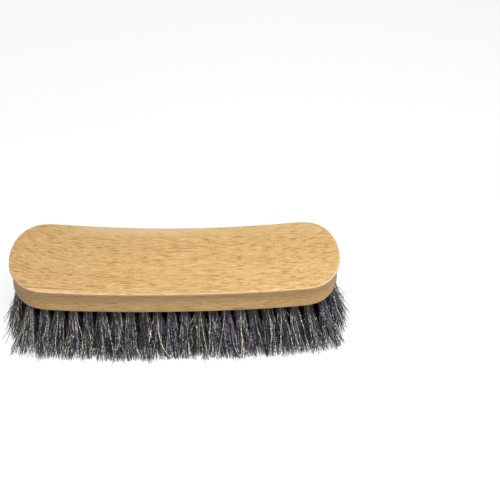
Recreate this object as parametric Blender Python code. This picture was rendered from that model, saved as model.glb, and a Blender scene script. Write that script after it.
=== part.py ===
"""A wooden shine brush about 200 mm long: a bent beech handle block over 24 rows of horsehair tufts.

Each row of tufts is one object: a slice of the drilled backing with the strands of its tufts.
Metres, +Z up. X runs along the handle, and the trimmed hair tips stand on Z = 0.
"""

import math

import bmesh
import bpy
import numpy as np
from mathutils import Vector
from mathutils.geometry import delaunay_2d_cdt

# Handle block
BLOCK_LENGTH = 0.200
BLOCK_WIDTH = 0.058
BLOCK_THICKNESS = 0.016
BEND_RADIUS = 0.700
WAIST = 0.0004
END_LENGTH = 0.027
END_FULLNESS = 2.95
TOP_EASE = 0.0011
BOTTOM_EASE = 0.0008
SIDE_HOLLOW = 0.0010

# Drilled backing, which fills a shallow recess under the block
RIM = 0.0016
BACKING_DEPTH = 0.0030
FIT_GAP = 0.0003

# Tuft holes: full rows of LINES tufts, and a shorter row along each rounded end
ROW_PITCH = 0.0083
LINES = 6
SIDE_INSET = 0.0070
HOLE_RADIUS = 0.0025
HOLE_WALL = 0.0004
END_ROW_TUFTS = 4
END_ROW_PITCH = 0.0070

# Hair
TRIM_LENGTH = 0.042
FLAT_CUT = 0.0005
TIP_BEND_RADIUS = 0.900
ROOT_LENGTH = 0.0045
ROOT_RATIO = 1.08
FAN_RATIO_ALONG = 1.085
FAN_RATIO_CORNER = 0.075
FAN_RATIO_ACROSS = 1.28
FAN_RATIO_END_LOSS = 0.10
STRANDS_A_TUFT = 3
STRAND_SPREAD = 0.0030
TIP_RATIO = 0.70

# Fineness of the faceted shapes
SIDE_STATIONS = 12
END_STATIONS = 16
EASE_STEPS = 4
HOLLOW_STEPS = 4
LEAST_STATION_STEP = 0.00003
MERGE_DISTANCE = 1e-9
SHARP_ANGLE = math.radians(38)
BACKING_SLOT = 0
HAIR_SLOT = 1

UNDERSIDE_Z = TRIM_LENGTH - FLAT_CUT
STRAIGHT_HALF = BLOCK_LENGTH / 2 - END_LENGTH
OUTER_LINE = BLOCK_WIDTH / 2 - SIDE_INSET
SLICE_INSET = RIM + FIT_GAP
HOLE_INSET = SLICE_INSET + HOLE_WALL + HOLE_RADIUS
HOLE_REACH = BLOCK_LENGTH / 2 - HOLE_INSET
LEAST_HOLE_PITCH = 2 * (HOLE_RADIUS + HOLE_WALL)


def bend(x, radius):
    """Rise of a line bent to this radius, above its middle."""
    return radius - math.sqrt(radius * radius - x * x)


def underside(x):
    return UNDERSIDE_Z + bend(x, BEND_RADIUS)


def trim(x):
    """Height of the trimmed tips, which are cut flat where the brush stands."""
    return max(0.0, bend(x, TIP_BEND_RADIUS) - FLAT_CUT)


def quarter_outline():
    """Plan outline of the block from the middle of a long side to the end of the handle."""
    half = BLOCK_WIDTH / 2
    points = []
    for i in range(SIDE_STATIONS):
        share = i / SIDE_STATIONS
        dip = WAIST * math.cos(math.pi / 2 * share) ** 2
        points.append((STRAIGHT_HALF * share, half - dip))
    for i in range(END_STATIONS + 1):
        turn = math.pi / 2 * i / END_STATIONS
        x = STRAIGHT_HALF + END_LENGTH * math.sin(turn) ** (2 / END_FULLNESS)
        points.append((x, half * math.cos(turn)))
    return points


def inset_quarter(distance):
    """The quarter outline moved inwards by this distance."""
    points = quarter_outline()
    before_first = (-points[1][0], points[1][1])
    after_last = (points[-2][0], -points[-2][1])
    chain = [before_first, *points, after_last]
    moved = []
    for before, (x, y), after in zip(chain, points, chain[2:]):
        along = Vector((after[0] - before[0], after[1] - before[1])).normalized()
        moved.append((x + along.y * distance, y - along.x * distance))
    moved[0] = (0.0, moved[0][1])
    moved[-1] = (moved[-1][0], 0.0)
    return moved


def full_outline(distance):
    """Closed counterclockwise outline, starting at the middle of the side towards -Y."""
    quarter = inset_quarter(distance)
    right = [(x, -y) for x, y in quarter] + [(x, y) for x, y in quarter[-2::-1]]
    left = [(-x, y) for x, y in quarter[1:]] + [(-x, -y) for x, y in quarter[-2:0:-1]]
    return right + left


def half_width(x, distance):
    """Half the width, at this x, of the outline moved inwards by this distance."""
    quarter = inset_quarter(distance)
    return float(np.interp(abs(x), [p[0] for p in quarter], [p[1] for p in quarter]))


def end_reach(y, distance):
    """How far along X the outline moved inwards by this distance reaches, at this y."""
    quarter = inset_quarter(distance)[::-1]
    return float(np.interp(abs(y), [p[1] for p in quarter], [p[0] for p in quarter]))


def end_row():
    """Tufts of the short row at the +X end, as (x, y). They follow the rounded end."""
    centres = []
    for i in range(END_ROW_TUFTS):
        y = (i - (END_ROW_TUFTS - 1) / 2) * END_ROW_PITCH
        centres.append((end_reach(y, HOLE_INSET), y))
    return centres


def full_row_count():
    """Full rows on one side of the middle, with wood left between their holes and the end row."""
    nearest = min(x for x, _ in end_row())
    room = nearest - LEAST_HOLE_PITCH - FIT_GAP - ROW_PITCH / 2
    return int(room / ROW_PITCH) + 1


FULL_ROWS = full_row_count()
ROWS = 2 * (FULL_ROWS + 1)
LAST_FULL_ROW = (FULL_ROWS - 0.5) * ROW_PITCH


def side_and_step(row):
    """Which side of the middle a row is on, and how many rows lie between it and the middle."""
    if row < ROWS // 2:
        return -1, ROWS // 2 - 1 - row
    return 1, row - ROWS // 2


def slice_limits(row):
    """Where this row's slice of backing begins and ends in x."""
    side, step = side_and_step(row)
    end_slice_start = (LAST_FULL_ROW + min(x for x, _ in end_row())) / 2
    meets = [i * ROW_PITCH for i in range(FULL_ROWS)] + [end_slice_start]
    near = meets[step] + FIT_GAP / 2
    if step == FULL_ROWS:
        far = end_reach(0, SLICE_INSET)
    else:
        far = meets[step + 1] - FIT_GAP / 2
    return sorted((side * near, side * far))


def slice_outline(row):
    """Plan outline of this row's slice of backing, counterclockwise."""
    start, end = slice_limits(row)
    quarter = [x for x, _ in inset_quarter(SLICE_INSET)]
    stations = [-x for x in quarter[:0:-1]] + quarter
    between = [x for x in stations if start + LEAST_STATION_STEP < x < end - LEAST_STATION_STEP]
    near_side = [(x, -half_width(x, SLICE_INSET)) for x in (start, *between, end)]
    far_side = [(x, -y) for x, y in reversed(near_side) if y < 0]
    return near_side + far_side


def tuft_centres(row):
    """Where the tufts of this row leave the underside, as (x, y)."""
    side, step = side_and_step(row)
    if step == FULL_ROWS:
        return [(side * x, y) for x, y in end_row()]
    x = (step + 0.5) * ROW_PITCH
    reach = min(OUTER_LINE, half_width(x, HOLE_INSET))
    count = min(LINES, int(2 * reach / LEAST_HOLE_PITCH) + 1)
    return [(side * x, reach * (2 * i / (count - 1) - 1)) for i in range(count)]


def fanned(x, y):
    """Where the middle of a tuft with its root at (x, y) ends, in plan."""
    near_end = (x / HOLE_REACH) ** 4
    corner = (y / OUTER_LINE) ** 2 * near_end
    along = FAN_RATIO_ALONG + FAN_RATIO_CORNER * corner
    across = FAN_RATIO_ACROSS * (1 - FAN_RATIO_END_LOSS * near_end)
    return x * along, y * across


def mouth(row, x, y):
    """The six corners where a tuft leaves the backing, from its middle.

    They turn from row to row, and mirror each other across both middle planes.
    """
    _, step = side_and_step(row)
    corners = 2 * STRANDS_A_TUFT
    offsets = []
    for i in range(corners):
        angle = 2 * math.pi / corners * (i + 0.25 + 0.5 * (step % 2))
        dx = HOLE_RADIUS * math.cos(angle) * math.copysign(1, x)
        dy = HOLE_RADIUS * math.sin(angle) * math.copysign(1, y)
        offsets.append(Vector((dx, dy)))
    return offsets


def principled(name, color, roughness, metallic=0.0):
    material = bpy.data.materials.new(name)
    material.use_nodes = True
    shader = material.node_tree.nodes["Principled BSDF"]
    shader.inputs["Base Color"].default_value = (*color, 1.0)
    shader.inputs["Roughness"].default_value = roughness
    shader.inputs["Metallic"].default_value = metallic
    return material


def add_object(name, bm, place, materials, smooth):
    """Puts the bmesh in the scene as one named object with its origin at this place."""
    bmesh.ops.translate(bm, verts=bm.verts, vec=-place)
    bmesh.ops.recalc_face_normals(bm, faces=bm.faces)
    for face in bm.faces:
        face.smooth = smooth
    mesh = bpy.data.meshes.new(name)
    bm.to_mesh(mesh)
    bm.free()
    if smooth:
        mesh.set_sharp_from_angle(angle=SHARP_ANGLE)
    for material in materials:
        mesh.materials.append(material)
    obj = bpy.data.objects.new(name, mesh)
    obj.location = place
    bpy.context.scene.collection.objects.link(obj)
    return obj


def ring(bm, distance, rise):
    """A loop of vertices along the outline, at this height above the bent underside."""
    return [bm.verts.new((x, y, underside(x) + rise)) for x, y in full_outline(distance)]


def join_loops(bm, first, second):
    """Joins two loops of as many vertices with a band of faces."""
    band = []
    for i, vert in enumerate(first):
        after = (i + 1) % len(first)
        band.append(bm.faces.new((vert, first[after], second[after], second[i])))
    return band


def fill_across(bm, loop):
    """Closes a loop with strips from one long side to the other, which keep the bend true."""
    half = len(loop) // 2
    quarter = half // 2
    # Vertex i has the same x as vertex half - i.
    for i in range(-quarter, quarter):
        near = (loop[i], loop[i + 1])
        far = (loop[half - i - 1], loop[half - i])
        bm.faces.new(list(dict.fromkeys(near + far)))


def build_block(material):
    """The handle: eased rims, lightly hollowed sides, and the recess for the backing."""
    bm = bmesh.new()
    rings = [ring(bm, RIM, BACKING_DEPTH), ring(bm, RIM, 0.0)]
    for i in range(EASE_STEPS // 2 + 1):
        turn = math.pi / 2 * i / (EASE_STEPS // 2)
        inset = BOTTOM_EASE * (1 - math.sin(turn))
        rings.append(ring(bm, inset, BOTTOM_EASE * (1 - math.cos(turn))))
    side_height = BLOCK_THICKNESS - TOP_EASE - BOTTOM_EASE
    for i in range(1, HOLLOW_STEPS):
        share = i / HOLLOW_STEPS
        inset = SIDE_HOLLOW * math.sin(math.pi * share)
        rings.append(ring(bm, inset, BOTTOM_EASE + side_height * share))
    for i in range(EASE_STEPS + 1):
        turn = math.pi / 2 * i / EASE_STEPS
        inset = TOP_EASE * (1 - math.cos(turn))
        rings.append(ring(bm, inset, BLOCK_THICKNESS - TOP_EASE * (1 - math.sin(turn))))
    for lower, upper in zip(rings, rings[1:]):
        join_loops(bm, lower, upper)
    fill_across(bm, rings[0])
    fill_across(bm, rings[-1])
    return add_object("handle_block", bm, Vector((0, 0, UNDERSIDE_Z)), [material], True)


def build_backing(bm, row, mouths):
    """Adds the slice of backing and returns the loop of vertices at each tuft's mouth."""
    outline = slice_outline(row)
    plan = [Vector(point) for point in outline]
    loops = [list(range(len(outline)))]
    for corners in mouths:
        loops.append(list(range(len(plan), len(plan) + len(corners))))
        plan.extend(corners)
    edges = [pair for loop in loops for pair in zip(loop, loop[1:] + loop[:1])]
    triangles = delaunay_2d_cdt(plan, edges, [], 1, MERGE_DISTANCE)[2]
    lower = [bm.verts.new((p.x, p.y, underside(p.x))) for p in plan]
    for triangle in triangles:
        if not any(set(triangle) <= set(loop) for loop in loops[1:]):
            bm.faces.new([lower[i] for i in triangle])
    roof = BACKING_DEPTH - FIT_GAP
    upper = [bm.verts.new((x, y, underside(x) + roof)) for x, y in outline]
    join_loops(bm, lower[: len(outline)], upper)
    bmesh.ops.triangulate(bm, faces=[bm.faces.new(upper)])
    return [[lower[i] for i in loop] for loop in loops[1:]]


def grow_tuft(bm, centre, offsets, mouth_verts):
    """Adds a tuft below its mouth: a packed root that parts into three tapering strands."""
    x, y = centre
    tip_x, tip_y = fanned(x, y)
    top = Vector((x, y, underside(x)))
    down = Vector((tip_x, tip_y, trim(tip_x))) - top
    parting = top + down * (ROOT_LENGTH / down.length)
    packed = [bm.verts.new(parting + ROOT_RATIO * offset.to_3d()) for offset in offsets]
    faces = join_loops(bm, mouth_verts, packed)
    middle = bm.verts.new(parting)
    for strand in range(STRANDS_A_TUFT):
        first, outer, last = (2 * strand, 2 * strand + 1, (2 * strand + 2) % len(offsets))
        base = [middle, packed[first], packed[outer], packed[last]]
        corners = [Vector((0, 0)), offsets[first], offsets[outer], offsets[last]]
        heart = offsets[outer] / 2
        strand_end = Vector((tip_x, tip_y)) + offsets[outer].normalized() * STRAND_SPREAD
        tip = []
        for corner in corners:
            place = strand_end + (corner - heart) * TIP_RATIO
            tip.append(bm.verts.new((place.x, place.y, trim(place.x))))
        faces += join_loops(bm, base, tip)
        faces.append(bm.faces.new(tip))
    for face in faces:
        face.material_index = HAIR_SLOT


def build_row(row, materials):
    """One row of tufts across the handle, fused to its slice of the backing."""
    bm = bmesh.new()
    centres = tuft_centres(row)
    shapes = [mouth(row, x, y) for x, y in centres]
    mouths = [[Vector(centre) + offset for offset in shape] for centre, shape in zip(centres, shapes)]
    loops = build_backing(bm, row, mouths)
    for centre, shape, loop in zip(centres, shapes, loops):
        grow_tuft(bm, centre, shape, loop)
    middle = sum(slice_limits(row)) / 2
    place = Vector((middle, 0, underside(middle)))
    return add_object(f"tuft_row_{row + 1:02d}", bm, place, materials, False)


def row_materials(row, backing):
    """The backing's wood, and hair that is a little lighter in one row than in the next."""
    materials = [None, None]
    shade = 0.055 + 0.008 * (row % 3)
    materials[BACKING_SLOT] = backing
    materials[HAIR_SLOT] = principled(f"horsehair_{row + 1:02d}", (shade, shade * 0.97, shade), 0.7)
    return materials


def main():
    for obj in list(bpy.data.objects):
        bpy.data.objects.remove(obj, do_unlink=True)
    brush = bpy.data.objects.new("shine_brush", None)
    bpy.context.scene.collection.objects.link(brush)
    block = build_block(principled("handle_beech", (0.78, 0.52, 0.24), 0.45))
    block.parent = brush
    backing = principled("backing_beech", (0.58, 0.38, 0.16), 0.6)
    for row in range(ROWS):
        tuft_row = build_row(row, row_materials(row, backing))
        tuft_row.parent = brush


main()
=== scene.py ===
"""Looks of the shine brush: a beech handle over rows of mixed grey horsehair tufts.

Metres, +Z up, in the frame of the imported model. X runs along the handle, and the front is at -Y.
"""

import math

import bmesh
import bpy
import numpy as np
from mathutils import Matrix, Vector
from mathutils.geometry import delaunay_2d_cdt


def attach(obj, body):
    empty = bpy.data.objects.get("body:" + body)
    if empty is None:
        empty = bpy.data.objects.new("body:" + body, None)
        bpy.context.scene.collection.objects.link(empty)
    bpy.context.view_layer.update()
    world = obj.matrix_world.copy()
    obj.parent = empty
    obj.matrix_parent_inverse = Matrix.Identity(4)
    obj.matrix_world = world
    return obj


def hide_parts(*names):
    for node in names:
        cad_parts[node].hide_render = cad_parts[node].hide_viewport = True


# Handle block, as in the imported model
BLOCK_LENGTH = 0.200
BLOCK_WIDTH = 0.058
BLOCK_THICKNESS = 0.016
BEND_RADIUS = 0.700
WAIST = 0.0004
END_LENGTH = 0.027
END_FULLNESS = 2.95
TOP_EASE = 0.0011
BOTTOM_EASE = 0.0008

# The sides are hollowed 0.3 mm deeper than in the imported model
SIDE_HOLLOW = 0.0013

# Tuft holes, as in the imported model
RIM = 0.0016
FIT_GAP = 0.0003
ROW_PITCH = 0.0083
LINES = 6
SIDE_INSET = 0.0070
HOLE_RADIUS = 0.0025
HOLE_WALL = 0.0004
END_ROW_TUFTS = 4
END_ROW_PITCH = 0.0070
FULL_ROWS = 11

# Length and fan of the hair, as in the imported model
TRIM_LENGTH = 0.042
FLAT_CUT = 0.0005
TIP_BEND_RADIUS = 0.900
FAN_RATIO_ALONG = 1.085
FAN_RATIO_CORNER = 0.075
FAN_RATIO_ACROSS = 1.28
FAN_RATIO_END_LOSS = 0.10
END_POWER = 4

# Places that follow from these sizes
UNDERSIDE_Z = TRIM_LENGTH - FLAT_CUT
STRAIGHT_HALF = BLOCK_LENGTH / 2 - END_LENGTH
OUTER_LINE = BLOCK_WIDTH / 2 - SIDE_INSET
HOLE_INSET = RIM + FIT_GAP + HOLE_WALL + HOLE_RADIUS
HOLE_REACH = BLOCK_LENGTH / 2 - HOLE_INSET
LEAST_HOLE_PITCH = 2 * (HOLE_RADIUS + HOLE_WALL)
ROWS = 2 * (FULL_ROWS + 1)

# Fineness of the handle's mesh
SIDE_STATIONS = 30
END_STATIONS = 30
EASE_STEPS = 6
HOLLOW_STEPS = 8
SHARP_ANGLE = math.radians(40)

# Detail of the drilled underside, whose triangulation keeps only what lies inside the outline
HOLE_DEPTH = 0.0022
HOLE_EASE = 0.00015
HOLE_SIDES = 20
MERGE_DISTANCE = 1e-9
TRIANGLES_INSIDE = 1

# How many hairs a tuft has, in how many locks and finer wisps, and how finely each is cut
HAIRS_A_TUFT = 195
LOCKS_A_TUFT = 14
WISPS_A_TUFT = 90
HAIR_STEPS = 10
HAIR_SIDES = 3
HAIR_SEED = 700

# Thickness of the hairs
HAIR_RADIUS = 0.00017
WHITE_HAIR_RADIUS = 0.00014
WHITE_STRAY_RADIUS = 0.00016
RADIUS_RATIOS = (0.85, 1.15)
TIP_TAPER = 0.10

# Form of a tuft, from its packed root in the hole to its spread tip. ROOT_PULL and TIP_PULL are
# the inner weights of its bowed middle line.
ROOT_DEPTH = 0.0016
PACKED_RADIUS = 0.0019
RIM_POWER = 0.36
ROOT_PULL = 0.22
TIP_PULL = 0.63
TUFT_SPREAD = 1.70
SPREAD_POWER = 1.3
TIP_WIDENING = 1.08

# Leans in plan at the tip. EVENNESS is the share of a lean that is left across the brush.
EVENNESS = 0.4
COMBED_LEAN = 0.0013
TUFT_LEAN = 0.0004
LOCK_LEAN = 0.0008
LEAN_POWER = 1.5
TIP_SCATTER = 0.0012
SCATTER_POWER = 2.5
END_LOOSENESS = 0.6

# Waves in plan: size, and the fewest and most periods along a hair
LOCK_WAVE = (0.00050, 0.8, 2.2)
WISP_WAVE = (0.00040, 1.0, 3.0)
SLOW_WAVE = (0.0005, 0.4, 1.1)
FINE_WAVE = (0.00026, 1.5, 3.5)
STRAY_WAVE = (0.0016, 0.4, 0.9)
HELD_SHARE = 0.40

# Short hairs, strays and how evenly the tips are trimmed
SHORT_SHARE = 0.07
SHORTEST_BY = 0.15
STRAY_SHARE = 0.045
STRAY_BEND = 0.0075
TIP_UNEVENNESS = 0.0003
TIP_CLEARANCE = 0.00018

# White hairs: their share, which rises towards -X, and their share among the strays
WHITE_SHARE = 0.010
WHITE_END_SHARE = 0.01
WHITE_END_FROM = -0.066
WHITE_END_FADE = 0.02
WHITE_STRAY_SHARE = 0.40
WHITE_SHADES = (0.92, 1.0)

# Shades of the other hairs, from 0 for black to 1 for white
LOCK_SHADE = 0.05
WISP_SHADE = 0.07
OWN_SHADE = 0.24
GREY_SHARE = 0.36
GREY_SHADES = (0.36, 0.66)

# Tints of the hairs, from 0 for cool to 1 for warm
BLACK_TINT = 0.13
SHADE_TINT = 0.70
LOCK_TINT = 0.17
OWN_TINT = 0.19
NEUTRAL_TINT = 0.5
WHITE_TINT_SHARE = 0.5

# Colours of the hair by shade and by tint
HAIR_COLORS = (
    (0.00, (0.003, 0.003, 0.004)),
    (0.35, (0.016, 0.016, 0.017)),
    (0.65, (0.112, 0.110, 0.112)),
    (0.90, (0.400, 0.393, 0.386)),
    (1.00, (0.850, 0.830, 0.780)),
)
HAIR_CASTS = (
    (0.0, (1.00, 0.81, 1.42)),
    (0.5, (1.00, 0.98, 1.02)),
    (1.0, (1.05, 1.07, 0.78)),
)

# Light and dark patches along each hair, painted glints and painted shade with some uneven colour of the
# hair, which are weaker on the white hairs
PATCH_SCALE = (1700.0, 1700.0, 850.0)
GLINT_AND_SHADE_PATCHES = (
    (0.39, (0.04, 0.038, 0.043)),
    (0.50, (0.82, 0.82, 0.82)),
    (0.61, (4.4, 4.34, 4.22)),
)
PATCHY_SHADES = (0.86, 0.92)
WHITE_PATCH_SHARE = 0.40

# Shadow between the roots, by depth below the block
ROOT_SHADOW_DEPTHS = (0.0060, 0.0140)
ROOT_SHADOW_SHARE = 0.62
ROOT_SHADOW_COLOR = (0.002, 0.002, 0.003, 1.0)

# Gloss of the hair, uneven from its scales
SCALES_SCALE = (3000.0, 3000.0, 500.0)
SCALES_NOISE = (0.3, 0.7)
HAIR_ROUGHNESS = (0.30, 0.46)
HAIR_SPECULAR = 0.6

# Course of the grain: it wanders, and runs out at a slant towards -X
FLOW_SCALE = (14.0, 30.0, 30.0)
GRAIN_DRIFT = 0.007
GRAIN_RUNOUT_FROM = 0.055
GRAIN_RUNOUT = 5.0
GRAIN_RUNOUT_Y = (-0.024, 0.006)
NOISE_MIDDLE = 0.5

# How level a face is, from a side's 0 to the top's 1, where the one's looks turn into the other's
LEVEL_RANGE = (0.50, 0.90)
TOP_RANGE = (0.6, 0.95)

# Growth rings, fibres, pores and ray flecks of the beech
FIGURE_SCALE = (7.0, 150.0, 110.0)
FIGURE_COLORS = (
    (0.25, (0.445, 0.280, 0.112)),
    (0.50, (0.482, 0.310, 0.130)),
    (0.75, (0.512, 0.338, 0.148)),
)
FIBRE_SCALE = (115.0, 2100.0, 1400.0)
SIDE_FIBRES = 0.62
DARK_FIBRE_NOISE = (0.55, 0.64)
DARK_FIBRE = (0.250, 0.134, 0.042, 1.0)
PALE_FIBRE_NOISE = (0.44, 0.33)
PALE_FIBRE = (0.650, 0.475, 0.260, 1.0)
PALE_FIBRE_SHARE = 0.60
PORE_SCALE = (420.0, 3600.0, 3600.0)
PORE_NOISE = (0.52, 0.68)
PORE_COLOR = (0.300, 0.165, 0.055, 1.0)
PORE_SHARE = 0.60
FLECK_SCALE = (105.0, 1900.0, 620.0)
FLECK_EDGE = (0.12, 0.42)
FLECK_PICKS = (0.50, 1.0)
FLECK_COLOR = (0.275, 0.155, 0.053, 1.0)
SIDE_FLECKS = 0.25

# One dark growth ring beside the front arris, and the paler wood outside it
RING_LINE_Y = -0.0257
RING_LINE_X = (-0.075, -0.035)
RING_LINE_HALF = (0.0001, 0.0005)
RING_LINE_WANDER = 0.0012
RING_LINE_SHARE = 0.85
RING_LINE_COLOR = (0.235, 0.120, 0.035, 1.0)
OUTER_WOOD_FADE = 0.0006
OUTER_WOOD_SHARE = 0.45
OUTER_WOOD_COLOR = (0.600, 0.430, 0.280, 1.0)

# A paler streak along the rear of the top, fainter towards +X
STREAK_Y = (0.0175, 0.0265)
STREAK_START_X = (-0.085, -0.050)
STREAK_FAINT_X = (0.045, -0.020)
STREAK_FAINT_SHARE = 0.35
STREAK_SHARE = 0.85
STREAK_COLOR = (0.500, 0.365, 0.195, 1.0)

# The end towards -X is darker; the arrises are paler, worn all along and with a painted highlight on the
# rim towards +X; and the sides are darkened and warmed by painted shade
DARK_END_X = (0.03, -0.10)
DARK_END = (0.90, 0.89, 0.88, 1.0)
WEAR_AND_HIGHLIGHT_X = (0.070, 0.098)
WEAR_AND_HIGHLIGHT_SHARES = (0.30, 0.75)
WORN_AND_HIGHLIGHT_COLOR = (0.62, 0.440, 0.270, 1.0)
SIDE_PAINTED_SHADE = (0.69, 0.67, 0.64, 1.0)

# Gloss and relief of the wood
GLOSS_NOISE = (0.3, 0.8)
WOOD_ROUGHNESS = (0.42, 0.60)
WOOD_SPECULAR = 0.22
FIBRE_DEPTH = 0.6
FLECK_DEPTH = 0.3
RELIEF_DISTANCE = 0.00008
RELIEF_STRENGTH = 0.25

# Floor, which glows so that it stays pale
FLOOR_SIZE = 15.0
FLOOR_SEGMENTS = 8
FLOOR_SHADES = ((0.0, (0.15, 0.15, 0.15)), (1.0, (0.17, 0.17, 0.17)))
FLOOR_CLOUD_SCALE = 3.0
FLOOR_ROUGHNESS = 0.9
FLOOR_GLOW = 0.80

# The one light, overhead and to the front
LIGHT_POINT = (0.15, -0.32, 0.82)
LIGHT_AIM = (0.0, 0.0, 0.03)
LIGHT_SIZE = 0.5
LIGHT_POWER = 13.2

# Surroundings from the horizon upwards: pale like a studio's backdrop, then dim
SKY = ((0.0, (0.90, 0.90, 0.90)), (0.12, (0.45, 0.45, 0.45)), (0.45, (0.10, 0.10, 0.10)))

# Camera, fitted to the outline of the handle in the photograph
CAMERA_POINT = (0.00882, -0.32268, 0.39083)
CAMERA_AIM = (0.04615, 0.01570, 0.0495)
CAMERA_ROLL = math.radians(3.84)
CAMERA_LENS = 54.0
SENSOR_WIDTH = 36.0

# Inputs and output of a Mix node that mixes colours
MIX_FACTOR, MIX_FIRST, MIX_SECOND = 0, 6, 7
MIX_RESULT = 2


def bend(x, radius):
    """Rise of a line bent to this radius, above its middle."""
    return radius - np.sqrt(radius * radius - x * x)


def underside(x):
    """Height of the block's underside."""
    return UNDERSIDE_Z + bend(x, BEND_RADIUS)


def trim(x):
    """Height of the trimmed tips, which are cut flat where the brush stands."""
    return np.maximum(0.0, bend(x, TIP_BEND_RADIUS) - FLAT_CUT)


def quarter_outline():
    """Plan outline of the block from the middle of a long side to the end of the handle."""
    half = BLOCK_WIDTH / 2
    points = []
    for i in range(SIDE_STATIONS):
        share = i / SIDE_STATIONS
        dip = WAIST * math.cos(math.pi / 2 * share) ** 2
        points.append((STRAIGHT_HALF * share, half - dip))
    for i in range(END_STATIONS + 1):
        turn = math.pi / 2 * i / END_STATIONS
        x = STRAIGHT_HALF + END_LENGTH * math.sin(turn) ** (2 / END_FULLNESS)
        points.append((x, half * math.cos(turn)))
    return points


def inset_quarter(distance):
    """The quarter outline moved inwards by this distance."""
    points = quarter_outline()
    before_first = (-points[1][0], points[1][1])
    after_last = (points[-2][0], -points[-2][1])
    chain = [before_first, *points, after_last]
    moved = []
    for before, (x, y), after in zip(chain, points, chain[2:]):
        along = Vector((after[0] - before[0], after[1] - before[1])).normalized()
        moved.append((x + along.y * distance, y - along.x * distance))
    moved[0] = (0.0, moved[0][1])
    moved[-1] = (moved[-1][0], 0.0)
    return moved


def full_outline(distance):
    """Closed counterclockwise outline, starting at the middle of the side towards -Y."""
    quarter = inset_quarter(distance)
    right = [(x, -y) for x, y in quarter] + [(x, y) for x, y in quarter[-2::-1]]
    left = [(-x, y) for x, y in quarter[1:]] + [(-x, -y) for x, y in quarter[-2:0:-1]]
    return right + left


def half_width(x, distance):
    """Half the width, at this x, of the outline moved inwards by this distance."""
    quarter = inset_quarter(distance)
    return float(np.interp(abs(x), [p[0] for p in quarter], [p[1] for p in quarter]))


def end_reach(y, distance):
    """How far along X the outline moved inwards by this distance reaches, at this y."""
    quarter = inset_quarter(distance)[::-1]
    return float(np.interp(abs(y), [p[1] for p in quarter], [p[0] for p in quarter]))


def tuft_centres(row):
    """Where the tufts of this row leave the underside, as (x, y)."""
    side = -1 if row < ROWS // 2 else 1
    step = ROWS // 2 - 1 - row if side < 0 else row - ROWS // 2
    if step == FULL_ROWS:
        places = [(i - (END_ROW_TUFTS - 1) / 2) * END_ROW_PITCH for i in range(END_ROW_TUFTS)]
        return [(side * end_reach(y, HOLE_INSET), y) for y in places]
    x = (step + 0.5) * ROW_PITCH
    reach = min(OUTER_LINE, half_width(x, HOLE_INSET))
    count = min(LINES, int(2 * reach / LEAST_HOLE_PITCH) + 1)
    return [(side * x, reach * (2 * i / (count - 1) - 1)) for i in range(count)]


def nearness_to_end(x):
    """0 along most of the brush, rising to 1 at the last tufts."""
    return (x / HOLE_REACH) ** END_POWER


def fanned(x, y):
    """Where the middle of a tuft with its root at (x, y) ends, in plan."""
    near_end = nearness_to_end(x)
    corner = (y / OUTER_LINE) ** 2 * near_end
    along = FAN_RATIO_ALONG + FAN_RATIO_CORNER * corner
    across = FAN_RATIO_ACROSS * (1 - FAN_RATIO_END_LOSS * near_end)
    return x * along, y * across


def fill_ramp(ramp, stops):
    """Gives a colour ramp these stops, as (place, colour)."""
    while len(ramp.elements) < len(stops):
        ramp.elements.new(0.5)
    for element, (place, color) in zip(ramp.elements, stops):
        element.position = place
        element.color = (*color, 1.0)


class Tree:
    """A material in the making, with short ways to add its nodes."""

    def __init__(self, name):
        self.material = bpy.data.materials.new(name)
        self.material.use_nodes = True
        self.nodes = self.material.node_tree.nodes
        self.links = self.material.node_tree.links
        self.shader = self.nodes["Principled BSDF"]

    def put(self, socket, value):
        """Links the socket to the value, or sets it where the value is a number or a colour."""
        if isinstance(value, bpy.types.NodeSocket):
            self.links.new(value, socket)
        else:
            socket.default_value = value

    def finish(self, inputs):
        """Puts these values on the shader's sockets."""
        for key, value in inputs.items():
            self.put(self.shader.inputs[key], value)
        return self.material

    def add(self, kind, inputs=None, **settings):
        node = self.nodes.new(kind)
        for key, value in settings.items():
            setattr(node, key, value)
        for key, value in (inputs or {}).items():
            self.put(node.inputs[key], value)
        return node

    def coordinates(self, kind):
        return self.add("ShaderNodeTexCoord").outputs[kind]

    def attribute(self, name):
        return self.add("ShaderNodeAttribute", attribute_name=name).outputs["Fac"]

    def split(self, vector):
        return self.add("ShaderNodeSeparateXYZ", {"Vector": vector}).outputs

    def math(self, operation, first, second=0.0):
        return self.add("ShaderNodeMath", {0: first, 1: second}, operation=operation).outputs[0]

    def plus(self, first, second):
        return self.math("ADD", first, second)

    def minus(self, first, second):
        return self.math("SUBTRACT", first, second)

    def times(self, first, second):
        return self.math("MULTIPLY", first, second)

    def scaled(self, vector, scale):
        return self.add("ShaderNodeMapping", {"Vector": vector, "Scale": scale}).outputs[0]

    def noise(self, vector, scale=1.0, detail=2.0, roughness=0.5, distortion=0.0):
        inputs = {
            "Vector": vector,
            "Scale": scale,
            "Detail": detail,
            "Roughness": roughness,
            "Distortion": distortion,
        }
        return self.add("ShaderNodeTexNoise", inputs).outputs[0]

    def ramp(self, value, stops):
        node = self.add("ShaderNodeValToRGB", {"Fac": value})
        fill_ramp(node.color_ramp, stops)
        return node.outputs[0]

    def smooth(self, value, low, high, to_low=0.0, to_high=1.0):
        """Turns low to high into to_low to to_high, with soft ends."""
        inputs = {
            "Value": value,
            "From Min": low,
            "From Max": high,
            "To Min": to_low,
            "To Max": to_high,
        }
        return self.add("ShaderNodeMapRange", inputs, interpolation_type="SMOOTHSTEP").outputs[0]

    def mix(self, factor, first, second, blend="MIX"):
        inputs = {MIX_FACTOR: factor, MIX_FIRST: first, MIX_SECOND: second}
        node = self.add("ShaderNodeMix", data_type="RGBA", blend_type=blend)
        for index, value in inputs.items():
            self.put(node.inputs[index], value)
        return node.outputs[MIX_RESULT]

    def multiply(self, factor, first, second):
        return self.mix(factor, first, second, "MULTIPLY")


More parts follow.
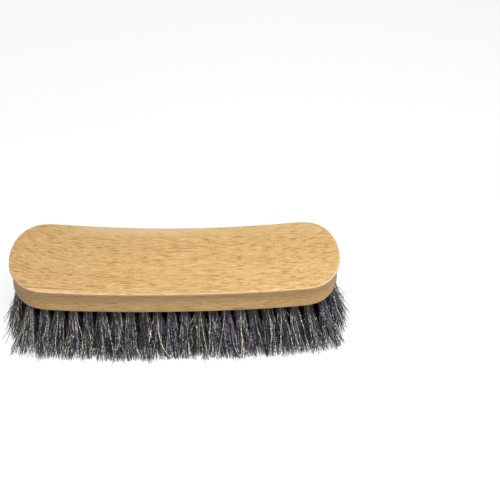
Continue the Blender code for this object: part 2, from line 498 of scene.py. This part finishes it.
def grain_space(t, place, axes):
    """Coordinates that follow the grain as it wanders and runs out."""
    flow = t.noise(t.scaled(place, FLOW_SCALE))
    drift = t.times(t.minus(flow, NOISE_MIDDLE), GRAIN_DRIFT)
    past = t.math("MINIMUM", t.plus(axes["X"], GRAIN_RUNOUT_FROM), 0.0)
    slope = t.smooth(axes["Y"], *GRAIN_RUNOUT_Y, to_high=GRAIN_RUNOUT)
    slant = t.times(t.times(past, past), slope)
    across = t.minus(t.plus(axes["Y"], drift), slant)
    upward = t.plus(axes["Z"], drift)
    parts = {"X": axes["X"], "Y": across, "Z": upward}
    return t.add("ShaderNodeCombineXYZ", parts).outputs[0]


def with_fibres(t, base, fibre, grain, level):
    """Fibres, lighter and darker in turn, which show most on level faces, and fine pores."""
    plain = t.smooth(level, *LEVEL_RANGE, SIDE_FIBRES, 1.0)
    dark = t.smooth(fibre, *DARK_FIBRE_NOISE)
    base = t.mix(t.times(dark, plain), base, DARK_FIBRE)
    pale = t.smooth(fibre, *PALE_FIBRE_NOISE, to_high=PALE_FIBRE_SHARE)
    base = t.mix(t.times(pale, plain), base, PALE_FIBRE)
    pores = t.noise(t.scaled(grain, PORE_SCALE), roughness=0.6)
    return t.mix(t.smooth(pores, *PORE_NOISE, to_high=PORE_SHARE), base, PORE_COLOR)


def with_flecks(t, base, cells, fleck, level):
    """Ray flecks, each a thin dash along the grain, some much darker than the rest."""
    pick = t.add("ShaderNodeSeparateColor", {"Color": cells.outputs["Color"]})
    strong = t.smooth(pick.outputs["Red"], *FLECK_PICKS)
    strong = t.times(strong, t.smooth(level, *LEVEL_RANGE, SIDE_FLECKS, 1.0))
    return t.mix(t.times(fleck, strong), base, FLECK_COLOR)


def with_ring_line(t, base, fibre, axes, on_top):
    """One dark growth ring shows as a line beside the front arris, with paler wood outside it."""
    wander = t.times(t.minus(fibre, NOISE_MIDDLE), RING_LINE_WANDER)
    line = t.math("ABSOLUTE", t.minus(t.plus(axes["Y"], wander), RING_LINE_Y))
    line = t.smooth(line, *RING_LINE_HALF, 1.0, 0.0)
    reach = t.times(t.smooth(axes["X"], *RING_LINE_X, RING_LINE_SHARE, 0.0), on_top)
    base = t.mix(t.times(line, reach), base, RING_LINE_COLOR)
    fade = (RING_LINE_Y, RING_LINE_Y - OUTER_WOOD_FADE)
    outside = t.smooth(axes["Y"], *fade, to_high=OUTER_WOOD_SHARE)
    return t.mix(t.times(outside, reach), base, OUTER_WOOD_COLOR)


def with_streak(t, base, axes, on_top):
    """A paler streak along the rear of the top."""
    rear = t.smooth(axes["Y"], *STREAK_Y, to_high=STREAK_SHARE)
    window = t.smooth(axes["X"], *STREAK_START_X)
    window = t.times(window, t.smooth(axes["X"], *STREAK_FAINT_X, STREAK_FAINT_SHARE, 1.0))
    return t.mix(t.times(t.times(rear, window), on_top), base, STREAK_COLOR)


def beech():
    """Clear-finished beech: fibres and short dark dashes along the grain, in a soft figure."""
    t = Tree("beech")
    place = t.coordinates("Object")
    axes = t.split(place)
    facing = t.split(t.coordinates("Normal"))
    level = t.math("ABSOLUTE", facing["Z"])
    on_top = t.smooth(facing["Z"], *TOP_RANGE)

    grain = grain_space(t, place, axes)
    fibre = t.noise(t.scaled(grain, FIBRE_SCALE), roughness=0.65, distortion=0.2)
    cells = t.add("ShaderNodeTexVoronoi", {"Vector": t.scaled(grain, FLECK_SCALE), "Scale": 1.0})
    fleck = t.smooth(cells.outputs["Distance"], *FLECK_EDGE, 1.0, 0.0)

    base = t.ramp(t.noise(t.scaled(grain, FIGURE_SCALE)), FIGURE_COLORS)
    base = with_fibres(t, base, fibre, grain, level)
    base = with_flecks(t, base, cells, fleck, level)
    base = with_ring_line(t, base, fibre, axes, on_top)
    base = with_streak(t, base, axes, on_top)
    base = t.mix(t.smooth(axes["X"], *DARK_END_X), base, t.multiply(1.0, base, DARK_END))
    # Paler arrises: worn wood all along, with a painted highlight on the rim that grows towards +X
    wear_and_highlight = t.times(t.attribute("arris"), t.smooth(axes["X"], *WEAR_AND_HIGHLIGHT_X, *WEAR_AND_HIGHLIGHT_SHARES))
    base = t.mix(wear_and_highlight, base, WORN_AND_HIGHLIGHT_COLOR)
    # Painted shade: the side faces are darker and warmer than the top
    aside = t.smooth(level, *LEVEL_RANGE, 1.0, 0.0)
    base = t.mix(aside, base, t.multiply(1.0, base, SIDE_PAINTED_SHADE))

    height = t.minus(t.times(fibre, -FIBRE_DEPTH), t.times(fleck, FLECK_DEPTH))
    relief = {"Strength": RELIEF_STRENGTH, "Distance": RELIEF_DISTANCE, "Height": height}
    looks = {
        "Base Color": base,
        "Roughness": t.smooth(fibre, *GLOSS_NOISE, *WOOD_ROUGHNESS),
        "Specular IOR Level": WOOD_SPECULAR,
        "Normal": t.add("ShaderNodeBump", relief).outputs[0],
    }
    return t.finish(looks)


def horsehair():
    """Mixed black, grey and white horsehair. Each hair has its own shade and tint."""
    t = Tree("horsehair")
    place = t.coordinates("Object")
    axes = t.split(place)
    shade = t.attribute("shade")
    color = t.ramp(shade, HAIR_COLORS)
    color = t.multiply(1.0, color, t.ramp(t.attribute("tint"), HAIR_CASTS))
    # Painted glints and painted shade along the hairs, weaker on the white hairs
    glint_and_shade_patches = t.ramp(t.noise(t.scaled(place, PATCH_SCALE), detail=1.0), GLINT_AND_SHADE_PATCHES)
    color = t.multiply(t.smooth(shade, *PATCHY_SHADES, 1.0, WHITE_PATCH_SHARE), color, glint_and_shade_patches)

    # The underside rises from the middle, nearly with the square of X
    rise = t.math("DIVIDE", t.times(axes["X"], axes["X"]), 2 * BEND_RADIUS)
    below = t.minus(t.plus(rise, UNDERSIDE_Z), axes["Z"])
    shadow = t.smooth(below, *ROOT_SHADOW_DEPTHS, ROOT_SHADOW_SHARE, 0.0)
    scales = t.noise(t.scaled(place, SCALES_SCALE), detail=1.0)
    looks = {
        "Base Color": t.mix(shadow, color, ROOT_SHADOW_COLOR),
        "Roughness": t.smooth(scales, *SCALES_NOISE, *HAIR_ROUGHNESS),
        "Specular IOR Level": HAIR_SPECULAR,
    }
    return t.finish(looks)


def pale_floor():
    """A plain floor, faintly clouded, which glows white."""
    t = Tree("pale_floor")
    cloud = t.noise(t.coordinates("Object"), FLOOR_CLOUD_SCALE, detail=1.0)
    looks = {
        "Base Color": t.ramp(cloud, FLOOR_SHADES),
        "Roughness": FLOOR_ROUGHNESS,
        "Emission Color": (1.0, 1.0, 1.0, 1.0),
        "Emission Strength": FLOOR_GLOW,
    }
    return t.finish(looks)


def add_object(name, data):
    """A new object in the scene with this data."""
    obj = bpy.data.objects.new(name, data)
    bpy.context.scene.collection.objects.link(obj)
    return obj


def join_loops(bm, first, second):
    """Joins two loops of as many vertices with a band of faces."""
    for i, vert in enumerate(first):
        after = (i + 1) % len(first)
        bm.faces.new((vert, first[after], second[after], second[i]))


def fill_across(bm, loop):
    """Closes a loop with strips from one long side to the other, which keep the bend true."""
    half = len(loop) // 2
    quarter = half // 2
    # Vertex i has the same x as vertex half - i
    for i in range(-quarter, quarter):
        near = (loop[i], loop[i + 1])
        far = (loop[half - i - 1], loop[half - i])
        bm.faces.new(list(dict.fromkeys(near + far)))


def profile():
    """(inset, rise, arris mask) of each ring from the underside round to the top face. The arris mask
    carries worn wood and a painted highlight.
    """
    turns = [math.pi / 2 * i / EASE_STEPS for i in range(EASE_STEPS + 1)]
    rings = []
    for turn in turns:
        inset = BOTTOM_EASE * (1 - math.sin(turn))
        rings.append((inset, BOTTOM_EASE * (1 - math.cos(turn)), math.sin(2 * turn)))
    low, high = BOTTOM_EASE, BLOCK_THICKNESS - TOP_EASE
    for i in range(1, HOLLOW_STEPS):
        share = i / HOLLOW_STEPS
        rings.append((SIDE_HOLLOW * math.sin(math.pi * share), low + (high - low) * share, 0.0))
    for turn in turns:
        rise = BLOCK_THICKNESS - TOP_EASE * (1 - math.sin(turn))
        rings.append((TOP_EASE * (1 - math.cos(turn)), rise, math.sin(2 * turn)))
    return rings


def circle(x, y, radius):
    """Plan points round a hole, counterclockwise."""
    turns = [2 * math.pi * i / HOLE_SIDES for i in range(HOLE_SIDES)]
    return [(x + radius * math.cos(turn), y + radius * math.sin(turn)) for turn in turns]


def sink_hole(bm, mouth, x, y):
    """The eased mouth, the wall and the floor of one hole."""
    above = mouth
    for depth in (HOLE_EASE, HOLE_DEPTH):
        ring = [(px, py, underside(px) + depth) for px, py in circle(x, y, HOLE_RADIUS)]
        inner = [bm.verts.new(point) for point in ring]
        join_loops(bm, above, inner)
        above = inner
    bm.faces.new(above)


def drill_underside(bm, rim):
    """Closes the underside round every tuft hole, and sinks the holes."""
    plan = [vert.co.to_2d() for vert in rim]
    loops = [list(range(len(plan)))]
    centres = [centre for row in range(ROWS) for centre in tuft_centres(row)]
    for x, y in centres:
        loops.append(list(range(len(plan), len(plan) + HOLE_SIDES)))
        plan.extend(Vector(point) for point in circle(x, y, HOLE_RADIUS + HOLE_EASE))
    edges = [pair for loop in loops for pair in zip(loop, loop[1:] + loop[:1])]
    _, _, triangles, *_ = delaunay_2d_cdt(plan, edges, [], TRIANGLES_INSIDE, MERGE_DISTANCE)
    verts = list(rim) + [bm.verts.new((p.x, p.y, underside(p.x))) for p in plan[len(rim) :]]
    owner = {i: n for n, loop in enumerate(loops) for i in loop}
    for triangle in triangles:
        # A triangle whose corners all lie on one hole would close that hole
        owners = {owner[i] for i in triangle}
        if len(owners) > 1 or owners == {0}:
            bm.faces.new([verts[i] for i in triangle])
    for (x, y), loop in zip(centres, loops[1:]):
        sink_hole(bm, [verts[i] for i in loop], x, y)


def build_handle(material):
    """The one-piece handle with its eased rims, hollowed sides and drilled underside."""
    bm = bmesh.new()
    # The arris mask on each vertex carries worn wood and a painted highlight
    wear_and_highlight_layer = bm.verts.layers.float.new("arris")
    rings = []
    for inset, rise, wear_and_highlight in profile():
        loop = []
        for x, y in full_outline(inset):
            vert = bm.verts.new((x, y, underside(x) + rise))
            vert[wear_and_highlight_layer] = wear_and_highlight
            loop.append(vert)
        rings.append(loop)
    for lower, upper in zip(rings, rings[1:]):
        join_loops(bm, lower, upper)
    fill_across(bm, rings[-1])
    drill_underside(bm, rings[0])
    bmesh.ops.recalc_face_normals(bm, faces=bm.faces)
    for face in bm.faces:
        face.smooth = True
    mesh = bpy.data.meshes.new("handle")
    bm.to_mesh(mesh)
    bm.free()
    mesh.set_sharp_from_angle(angle=SHARP_ANGLE)
    mesh.materials.append(material)
    return add_object("handle", mesh)


def plan_wave(rng, count, wave, t):
    """Sideways waves in plan, one for each hair or lock.

    They start small at the root, where the hole holds the hairs together.
    """
    size, fewest, most = wave
    way = 2 * math.pi * rng.random(count)
    across = np.stack([np.cos(way), np.sin(way)], 1)[:, None, :]
    periods = rng.uniform(fewest, most, count)[:, None, None]
    phase = rng.uniform(0, 2 * math.pi, count)[:, None, None]
    height = np.abs(rng.normal(0, size, count))[:, None, None]
    loose = np.minimum(t / HELD_SHARE, 1)
    return across * height * loose * (np.sin(2 * math.pi * periods * t + phase) - np.sin(phase))


def nearest(points, middles):
    """Index of the middle that each point lies nearest to."""
    return np.linalg.norm(points[:, None] - middles[None], axis=2).argmin(axis=1)


def evened(size):
    """A size along the brush, and the smaller one across it."""
    return np.array([size, size * EVENNESS])


def white_share(x):
    """Share of white hairs among those that aren't strays."""
    return WHITE_SHARE + WHITE_END_SHARE * np.clip((WHITE_END_FROM - x) / WHITE_END_FADE, 0, 1)


def tip_scatter(x):
    """How far single tips scatter in plan, which is more at the ends, and there in every direction."""
    near_end = nearness_to_end(x)
    loose = TIP_SCATTER * (1 + END_LOOSENESS * near_end)
    return (loose, loose * (EVENNESS + (1 - EVENNESS) * near_end))


def steps_along():
    """Shares of the way from root to tip, as a column for each hair."""
    return np.linspace(0, 1, HAIR_STEPS + 1)[None, :, None]


def middle_line(rng, x, y, t):
    """A tuft's own middle line, which leaves the hole steeply and straightens towards the tip."""
    root = np.array([x, y])
    tip = np.array(fanned(x, y)) + rng.normal(0, 1, 2) * evened(TUFT_LEAN)
    bowed = 3 * t * (1 - t) ** 2 * ROOT_PULL + 3 * t * t * (1 - t) * TIP_PULL + t**3
    return root + (tip - root) * bowed


def spread_out(offset, turn, t):
    """Offsets from the middle line, for a tuft that is round at its hole and nearly square at its tip."""
    square = offset / np.maximum(np.abs(np.cos(turn)), np.abs(np.sin(turn)))[:, None]
    square = square * (1, TIP_WIDENING)
    plan = offset[:, None, :] + (square - offset)[:, None, :] * t**2
    return plan * (1 + TUFT_SPREAD * t**SPREAD_POWER)


class Tuft:
    """The hairs of one tuft, which leaves the underside at (x, y).

    All draws come from one generator, so the methods are called in the order in which they stand.
    """

    def __init__(self, rng, x, y):
        n = HAIRS_A_TUFT
        self.rng = rng
        self.x, self.y = x, y
        self.stray = rng.random(n) < STRAY_SHARE
        self.white = rng.random(n) < np.where(self.stray, WHITE_STRAY_SHARE, white_share(x))
        reach = PACKED_RADIUS * rng.random(n) ** RIM_POWER
        self.turn = 2 * math.pi * rng.random(n)
        self.offset = np.stack([reach * np.cos(self.turn), reach * np.sin(self.turn)], 1)

        # Neighbouring hairs hold together in locks, each with its own lean, waves and shade
        self.lock = nearest(self.offset, self.offset[:LOCKS_A_TUFT])
        self.wisp = nearest(self.offset, self.offset[:WISPS_A_TUFT])
        self.lock_lean = rng.normal(0, 1, (LOCKS_A_TUFT, 2)) * evened(LOCK_LEAN)
        self.shared_shade = LOCK_SHADE * rng.random(LOCKS_A_TUFT)[self.lock]
        self.shared_shade = self.shared_shade + WISP_SHADE * rng.random(WISPS_A_TUFT)[self.wisp]

    def lines(self):
        """Middle lines of the hairs, as an array of points."""
        rng, n = self.rng, HAIRS_A_TUFT
        short = (rng.random(n) < SHORT_SHARE) * SHORTEST_BY * rng.random(n)
        length = (1 - short)[:, None, None]  # as a share of the full length
        t = steps_along() * length
        line = middle_line(rng, self.x, self.y, t) + spread_out(self.offset, self.turn, t)
        line = line + np.array([COMBED_LEAN, 0.0]) * t**LEAN_POWER
        line = line + self.lock_lean[self.lock][:, None, :] * t**LEAN_POWER
        line = line + rng.normal(0, 1, (n, 1, 2)) * tip_scatter(self.x) * t**SCATTER_POWER
        bent = (self.stray * rng.uniform(-STRAY_BEND, STRAY_BEND, (2, n))).T * (1, EVENNESS)
        line = line + bent[:, None, :] * t**2
        line = line + plan_wave(rng, n, SLOW_WAVE, t) + plan_wave(rng, n, FINE_WAVE, t)
        line = line + self.stray[:, None, None] * plan_wave(rng, n, STRAY_WAVE, t)
        shared = plan_wave(rng, LOCKS_A_TUFT, LOCK_WAVE, steps_along())[self.lock]
        shared = shared + plan_wave(rng, WISPS_A_TUFT, WISP_WAVE, steps_along())[self.wisp]
        line = line + shared * length

        top = underside(self.x + self.offset[:, 0])[:, None] + ROOT_DEPTH
        uneven = np.abs(rng.normal(0, TIP_UNEVENNESS, (n, 1)))
        ends = trim(line[:, -1, 0])[:, None] + uneven + TIP_CLEARANCE
        height = top + (ends - top) * t[..., 0]
        return np.concatenate([line, height[..., None]], axis=2)

    def shades(self):
        """Most hairs are dark, and the grey ones among them are scattered one by one."""
        rng, n = self.rng, HAIRS_A_TUFT
        grey = rng.random(n) < GREY_SHARE
        shade = self.shared_shade + OWN_SHADE * rng.random(n)
        shade = shade + np.where(grey, rng.uniform(*GREY_SHADES, n), 0.0)
        return np.where(self.white, rng.uniform(*WHITE_SHADES, n), shade)

    def radii(self):
        """White hairs are thinner than the others."""
        white_radius = np.where(self.stray, WHITE_STRAY_RADIUS, WHITE_HAIR_RADIUS)
        radius = np.where(self.white, white_radius, HAIR_RADIUS)
        return radius * self.rng.uniform(*RADIUS_RATIOS, HAIRS_A_TUFT)

    def tints(self, shade):
        """Dark hairs are cooler, grey ones warmer, and white ones nearly neutral."""
        tint = SHADE_TINT * shade + BLACK_TINT
        tint = tint + self.rng.normal(0, LOCK_TINT, LOCKS_A_TUFT)[self.lock]
        tint = tint + self.rng.normal(0, OWN_TINT, HAIRS_A_TUFT)
        neutral = NEUTRAL_TINT + WHITE_TINT_SHARE * (tint - NEUTRAL_TINT)
        return np.clip(np.where(self.white, neutral, tint), 0, 1)


def tuft_hairs(rng, x, y):
    """Middle lines, radii, shades and tints of one tuft's hairs."""
    tuft = Tuft(rng, x, y)
    lines = tuft.lines()
    shades = tuft.shades()
    radii = tuft.radii()
    return lines, radii, shades, tuft.tints(shades)


def tube_points(lines, radii):
    """Points of a thin tapered tube round each middle line."""
    along = np.gradient(lines, axis=1)
    along /= np.linalg.norm(along, axis=2)[..., None]
    aside = np.cross(along, (1.0, 0.0, 0.0))
    aside /= np.linalg.norm(aside, axis=2)[..., None]
    over = np.cross(along, aside)
    taper = 1 - TIP_TAPER * np.linspace(0, 1, lines.shape[1]) ** 2
    turn = 2 * math.pi * np.arange(HAIR_SIDES) / HAIR_SIDES
    ring = aside[:, :, None, :] * np.cos(turn)[None, None, :, None]
    ring = ring + over[:, :, None, :] * np.sin(turn)[None, None, :, None]
    return lines[:, :, None, :] + ring * (radii[:, None] * taper)[:, :, None, None]


def strand_mesh(name, lines, radii, shades, tints):
    """A mesh of thin closed tubes along these middle lines."""
    count, points, _ = lines.shape
    verts = tube_points(lines, radii)
    index = np.arange(count * points * HAIR_SIDES).reshape(count, points, HAIR_SIDES)
    low, high = index[:, :-1], index[:, 1:]
    low_next, high_next = np.roll(low, -1, 2), np.roll(high, -1, 2)
    quads = np.stack([low, low_next, high_next, high], -1).reshape(-1, 4)
    caps = np.concatenate([index[:, 0, ::-1], index[:, -1]])
    corners = np.concatenate([quads.ravel(), caps.ravel()])
    sizes = np.concatenate([np.full(len(quads), 4), np.full(len(caps), HAIR_SIDES)])
    starts = np.concatenate([[0], np.cumsum(sizes)[:-1]])

    mesh = bpy.data.meshes.new(name)
    mesh.vertices.add(verts.size // 3)
    mesh.vertices.foreach_set("co", verts.astype(np.float32).ravel())
    mesh.loops.add(len(corners))
    mesh.loops.foreach_set("vertex_index", corners.astype(np.int32))
    mesh.polygons.add(len(sizes))
    mesh.polygons.foreach_set("loop_start", starts.astype(np.int32))
    mesh.polygons.foreach_set("use_smooth", np.ones(len(sizes), bool))
    for kind, values in (("shade", shades), ("tint", tints)):
        attribute = mesh.attributes.new(kind, "FLOAT", "POINT")
        each = np.repeat(values, points * HAIR_SIDES).astype(np.float32)
        attribute.data.foreach_set("value", each)
    mesh.update(calc_edges=True)
    mesh.validate()
    return mesh


def build_hair_row(row, material):
    """All the hair of one crosswise row of tufts."""
    rng = np.random.default_rng(HAIR_SEED + row)
    parts = [tuft_hairs(rng, x, y) for x, y in tuft_centres(row)]
    name = f"hair_row_{row + 1:02d}"
    mesh = strand_mesh(name, *(np.concatenate(kind) for kind in zip(*parts)))
    mesh.materials.append(material)
    return add_object(name, mesh)


def add_floor():
    bm = bmesh.new()
    segments = FLOOR_SEGMENTS
    bmesh.ops.create_grid(bm, x_segments=segments, y_segments=segments, size=FLOOR_SIZE)
    mesh = bpy.data.meshes.new("floor")
    bm.to_mesh(mesh)
    bm.free()
    mesh.materials.append(pale_floor())
    floor = add_object("floor", mesh)


def add_light():
    light = bpy.data.lights.new("overhead", "AREA")
    light.shape = "DISK"
    light.size = LIGHT_SIZE
    light.energy = LIGHT_POWER
    obj = add_object("overhead", light)
    obj.location = LIGHT_POINT
    obj.rotation_mode = "QUATERNION"
    obj.rotation_quaternion = (Vector(LIGHT_AIM) - Vector(LIGHT_POINT)).to_track_quat("-Z", "Y")


def add_camera():
    """Camera at the photograph's viewing angle, with the brush left of the middle as there."""
    camera = bpy.data.cameras.new("camera")
    camera.lens = CAMERA_LENS
    camera.sensor_width = SENSOR_WIDTH
    obj = add_object("camera", camera)
    ahead = (Vector(CAMERA_AIM) - Vector(CAMERA_POINT)).normalized()
    level = ahead.cross(Vector((0, 0, 1))).normalized()
    upright = level.cross(ahead)
    right = level * math.cos(CAMERA_ROLL) + upright * math.sin(CAMERA_ROLL)
    up = right.cross(ahead)
    turn = Matrix((right, up, -ahead)).transposed()
    obj.matrix_world = Matrix.Translation(Vector(CAMERA_POINT)) @ turn.to_4x4()
    bpy.context.scene.camera = obj


def add_surroundings():
    """Light from all round, by height above the horizon."""
    world = bpy.data.worlds.new("studio")
    world.use_nodes = True
    nodes, links = world.node_tree.nodes, world.node_tree.links
    way = nodes.new("ShaderNodeSeparateXYZ")
    links.new(nodes.new("ShaderNodeTexCoord").outputs["Generated"], way.inputs[0])
    fade = nodes.new("ShaderNodeValToRGB")
    fade.color_ramp.interpolation = "EASE"
    fill_ramp(fade.color_ramp, SKY)
    links.new(way.outputs["Z"], fade.inputs["Fac"])
    links.new(fade.outputs["Color"], nodes["Background"].inputs["Color"])
    bpy.context.scene.world = world


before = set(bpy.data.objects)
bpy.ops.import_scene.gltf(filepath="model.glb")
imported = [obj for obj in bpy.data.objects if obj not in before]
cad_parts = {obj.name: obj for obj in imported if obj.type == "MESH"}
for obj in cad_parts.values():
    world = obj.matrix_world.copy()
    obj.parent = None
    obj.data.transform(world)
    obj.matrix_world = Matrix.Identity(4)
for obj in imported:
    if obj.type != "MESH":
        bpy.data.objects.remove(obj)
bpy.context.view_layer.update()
wood = beech()
hair_material = horsehair()
handle = build_handle(wood)
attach(handle, "root")
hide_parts("handle_block")
for row in range(ROWS):
    hair = build_hair_row(row, hair_material)
    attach(hair, "root")
    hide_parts(f"tuft_row_{row + 1:02d}")
add_floor()
add_camera()
add_light()
add_surroundings()
bpy.context.scene.view_settings.view_transform = "Standard"
